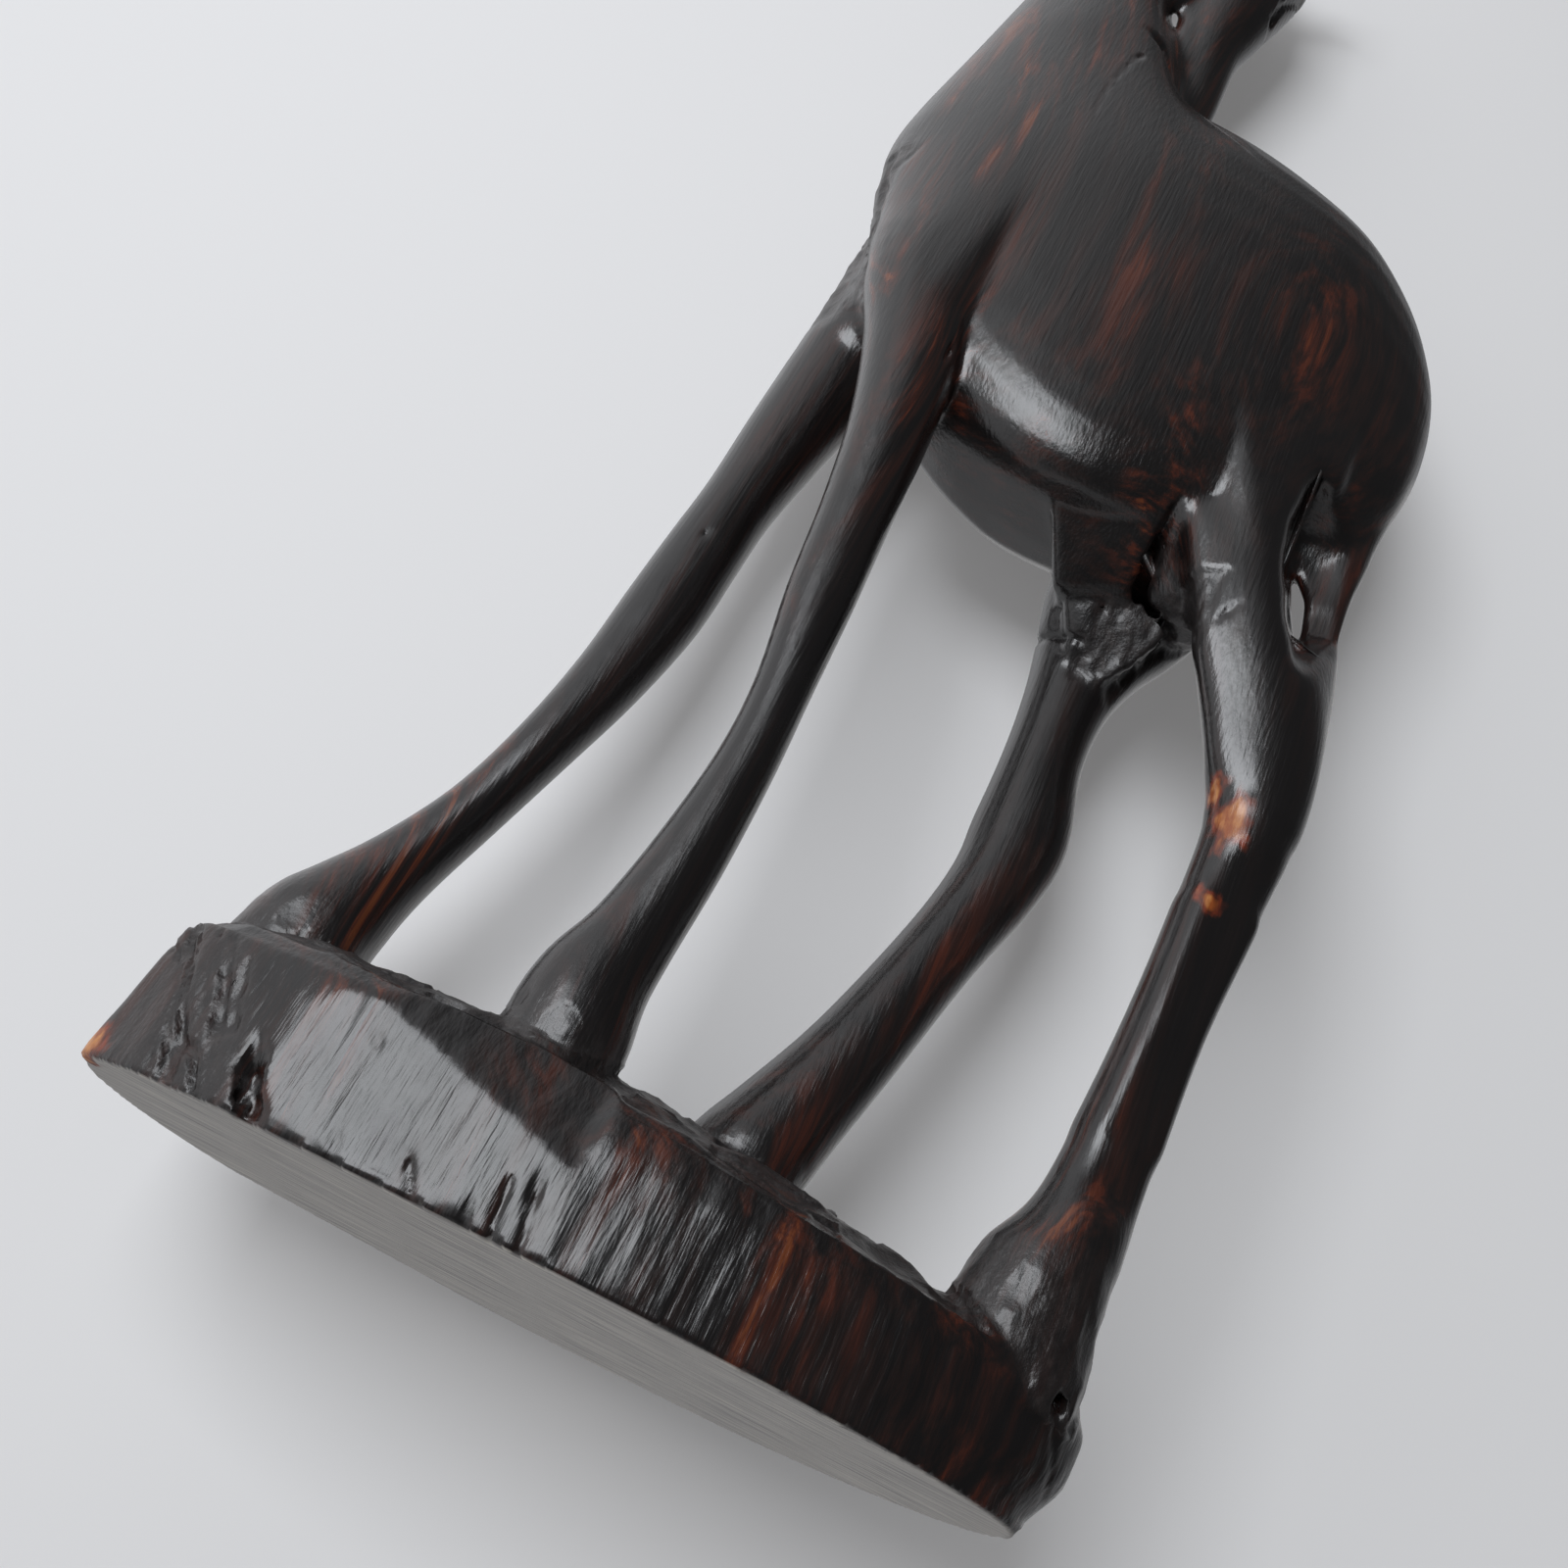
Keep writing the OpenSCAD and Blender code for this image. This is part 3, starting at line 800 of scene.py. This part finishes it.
def wood_relief(tree, place, hewn_share):
    """A bump map of pores, and of grit where the wood is hewn."""
    pores = tree.noise(tree.scaled(place, 1500, 1500, 90), 1.0, 3.0)
    grit = tree.noise(place, 900.0, 3.0, 0.6)
    grit_share = tree.maths("ADD", tree.maths("MULTIPLY", hewn_share, 2.2), 0.12)
    relief = tree.maths("ADD", tree.maths("MULTIPLY", pores, 1.2), tree.maths("MULTIPLY", grit, grit_share))
    bump = tree.put("Bump")
    bump.inputs["Strength"].default_value = 0.4
    bump.inputs["Distance"].default_value = 0.00025
    tree.feed(bump.inputs["Height"], relief)
    return bump.outputs[0]


def wood(name, gloss):
    """The one dark wood in all its states, mixed by the attributes of the mesh."""
    material = bpy.data.materials.new(name)
    tree = Tree(material)
    place = tree.put("TexCoord").outputs["Object"]
    hewn_share = tree.attribute("hewn_share")
    sawn_share_with_painted_light = tree.attribute("sawn_share_with_painted_light")
    sap_share = tree.attribute("sap_share")

    hewn_mix = tree.maths("MULTIPLY", hewn_share, 0.8)
    colour = tree.mix(hewn_mix, grain_colour(tree, place), hewn_colour(tree, place))
    # The sawn underside: its own pale colour plus painted light from below.
    colour = tree.mix(sawn_share_with_painted_light, colour, sawn_colour_with_painted_light(tree, place))
    sap_mix = tree.ramp(sap_share, (0.02, 0.0), (0.30, 1.0))
    colour = tree.mix(sap_mix, colour, sap_colour(tree, place, sap_share))

    smudge = tree.noise(place, 130.0, 4.0, 0.6)
    hewn_matt = tree.maths("MULTIPLY", hewn_share, 0.20)
    matt = tree.maths("ADD", hewn_matt, tree.maths("MULTIPLY", sawn_share_with_painted_light, 0.45))
    roughness = tree.maths("ADD", tree.maths("MULTIPLY", smudge, 0.22), tree.maths("ADD", matt, 0.13))

    shader = tree.put("BsdfPrincipled")
    shader.inputs["Coat Weight"].default_value = gloss
    shader.inputs["Coat Roughness"].default_value = 0.16
    tree.feed(shader.inputs["Base Color"], colour)
    tree.feed(shader.inputs["Roughness"], roughness)
    tree.feed(shader.inputs["Normal"], wood_relief(tree, place, hewn_share))
    tree.put("OutputMaterial", shader.outputs[0])
    return material


polished = wood("polished_wood", 0.35)
hewn = wood("hewn_wood", 0.10)


# ---------------------------------------------------------------- pieces

def open_rims(local, count):
    """The edges that only one quad of a piece uses, and for each of its points a number that is the same all
    round one rim."""
    edges = np.concatenate([local[:, [k, (k + 1) % 4]] for k in range(4)])
    key = edges.min(1) * count + edges.max(1)
    _, where, uses = np.unique(key, return_inverse=True, return_counts=True)
    rim = edges[uses[where] == 1]
    group = np.arange(count)
    while len(rim):
        lowest = group.copy()
        np.minimum.at(lowest, rim[:, 0], group[rim[:, 1]])
        np.minimum.at(lowest, rim[:, 1], group[rim[:, 0]])
        lowest = lowest[lowest]
        if np.array_equal(lowest, group):
            break
        group = lowest
    return rim, group


def rim_caps(places, local):
    """A fan of triangles inside the wood over each open rim, and the points in the middle of the fans."""
    rim, group = open_rims(local, len(places))
    centres = []
    caps = []
    for loop in np.unique(group[rim[:, 0]]) if len(rim) else []:
        part = rim[group[rim[:, 0]] == loop]
        middle = np.full(len(part), len(places) + len(centres))
        centres.append(places[part[:, 0]].mean(0))
        caps.append(np.column_stack([part[:, 1], part[:, 0], middle]))
    return np.array(centres).reshape(-1, 3), caps


def make_piece(node, faces):
    """One closed mesh from its share of the skin."""
    used, local = np.unique(quads[faces], return_inverse=True)
    local = local.reshape(-1, 4)
    places = points[used]
    centres, caps = rim_caps(places, local)
    places = np.concatenate([places, centres])
    mesh = bpy.data.meshes.new(node)
    polygons = local.tolist() + [triangle for cap in caps for triangle in cap.tolist()]
    mesh.from_pydata((places * MM).tolist(), [], polygons)
    mesh.shade_smooth()
    corner_normals = normals[used][local]
    corner_normals[places[local, 2].max(1) < 0.01] = (0, 0, -1)
    cap_normals = [np.zeros((cap.size, 3)) for cap in caps]
    corner_normals = np.concatenate([corner_normals.reshape(-1, 3)] + cap_normals)
    mesh.normals_split_custom_set(corner_normals.tolist())
    for name, values in shares.items():
        attribute = mesh.attributes.new(name, "FLOAT", "POINT")
        padded = np.append(values[used], np.zeros(len(centres)))
        attribute.data.foreach_set("value", padded.astype(np.float32))
    piece = bpy.data.objects.new(node + "_carved", mesh)
    scene.collection.objects.link(piece)
    hewn_piece = node in HEWN_NODES
    mesh.materials.append(hewn if hewn_piece else polished)
    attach(piece, "root")
    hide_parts(node)


for index, node in enumerate(names):
    make_piece(node, nearest == index)


# ---------------------------------------------------------------- stage

TABLE_NORMAL = Vector((0, 0.99905, 0.0436)).normalized()  # square to the table, which lies behind the statue


def pale_surface(name, colour):
    """Pale paint that is clear from behind, so that it never hides the statue."""
    material = bpy.data.materials.new(name)
    tree = Tree(material)
    paint = tree.put("BsdfPrincipled")
    paint.inputs["Base Color"].default_value = (*colour, 1)
    paint.inputs["Roughness"].default_value = 0.8
    paint.inputs["Emission Color"].default_value = (*colour, 1)
    paint.inputs["Emission Strength"].default_value = 0.20
    clear = tree.put("BsdfTransparent")
    behind = tree.put("NewGeometry").outputs["Backfacing"]
    tree.put("OutputMaterial", tree.put("MixShader", behind, paint.outputs[0], clear.outputs[0]).outputs[0])
    return material


def sheet(name, place, facing, half, material):
    """A large flat square that faces one way and lets light through."""
    mesh = bpy.data.meshes.new(name)
    corners = [(-half, -half, 0), (half, -half, 0), (half, half, 0), (-half, half, 0)]
    mesh.from_pydata(corners, [], [(0, 1, 2, 3)])
    mesh.materials.append(material)
    plane = bpy.data.objects.new(name, mesh)
    scene.collection.objects.link(plane)
    plane.matrix_world = Matrix.Translation(place) @ facing.to_track_quat("Z", "Y").to_matrix().to_4x4()
    for ray in ("visible_shadow", "visible_diffuse", "visible_glossy", "visible_transmission"):
        setattr(plane, ray, False)


furthest = (points @ np.array(TABLE_NORMAL)).max() * MM
pale = pale_surface("pale_paint", (0.68, 0.675, 0.675))
sheet("backdrop", TABLE_NORMAL * (furthest + 0.0005), -TABLE_NORMAL, 3, pale)
sheet("floor", Vector((0, 0, -0.0002)), Vector((0, 0, 1)), 3, pale)


# ---------------------------------------------------------------- camera

CAMERA_PLACE = Vector((11.7, -219.7, -28.2)) * MM  # close up, as the photograph's perspective shows
CAMERA_AZIMUTH = math.radians(3.9)
CAMERA_ELEVATION = math.radians(28.7)
CAMERA_ROLL = math.radians(27.9)


def make_camera():
    data = bpy.data.cameras.new("camera")
    data.sensor_width = 36
    data.lens = 33.75
    data.clip_start = 0.01
    data.clip_end = 20
    camera = bpy.data.objects.new("camera", data)
    scene.collection.objects.link(camera)
    turn = Matrix.Rotation(CAMERA_AZIMUTH, 4, "Z")
    tilt = Matrix.Rotation(math.pi / 2 + CAMERA_ELEVATION, 4, "X")
    roll = Matrix.Rotation(CAMERA_ROLL, 4, "Z")
    camera.matrix_world = Matrix.Translation(CAMERA_PLACE) @ turn @ tilt @ roll
    scene.camera = camera


make_camera()


# ---------------------------------------------------------------- light

def area_light(name, direction, distance, size, power, colour):
    """A soft square light that shines on the middle of the statue from a direction."""
    data = bpy.data.lights.new(name, "AREA")
    data.shape = "RECTANGLE"
    data.size, data.size_y = size
    data.energy = power
    data.color = colour
    light = bpy.data.objects.new(name, data)
    scene.collection.objects.link(light)
    middle = (cad_low + cad_high) / 2
    direction = Vector(direction).normalized()
    light.matrix_world = (Matrix.Translation(middle + direction * distance)
                          @ direction.to_track_quat("Z", "Y").to_matrix().to_4x4())


area_light("window", (-0.41, -0.90, 0.05), 0.9, (0.54, 0.48), 5.5, (0.93, 0.96, 1.0))
area_light("back_fill", (0.4, 0.9, 0.35), 1.2, (1.2, 1.2), 0.8, (1.0, 0.98, 0.95))


def studio_world():
    """Pale to look at. It lights the statue brightly from the left and from below, and dimly elsewhere."""
    world = bpy.data.worlds.new("studio")
    scene.world = world
    tree = Tree(world)
    direction = tree.put("TexCoord").outputs["Generated"]

    def towards(axis, low, high):
        lean = tree.put("VectorMath", direction, axis, operation="DOT_PRODUCT").outputs["Value"]
        return tree.put("MapRange", lean, low, high, 0.0, 1.0, interpolation_type="SMOOTHSTEP").outputs[0]

    left = tree.maths("MULTIPLY", towards((-0.97, -0.10, 0.22), 0.0, 0.85), 0.85)
    below = tree.maths("MULTIPLY", towards((-0.15, 0.42, -0.90), 0.35, 0.95), 0.60)
    table_side = tree.maths("MULTIPLY", towards(tuple(TABLE_NORMAL), 0.0, 0.5), 0.26)
    brightest = tree.maths("MAXIMUM", tree.maths("MAXIMUM", left, below), table_side)
    strength = tree.maths("ADD", brightest, 0.07)
    light = tree.put("Background", (0.96, 0.97, 1.0, 1), strength)
    seen = tree.put("Background", (0.69, 0.69, 0.70, 1), 1.0)
    camera_ray = tree.put("LightPath").outputs["Is Camera Ray"]
    tree.put("OutputWorld", tree.put("MixShader", camera_ray, light.outputs[0], seen.outputs[0]).outputs[0])


studio_world()
scene.view_settings.view_transform = "Standard"
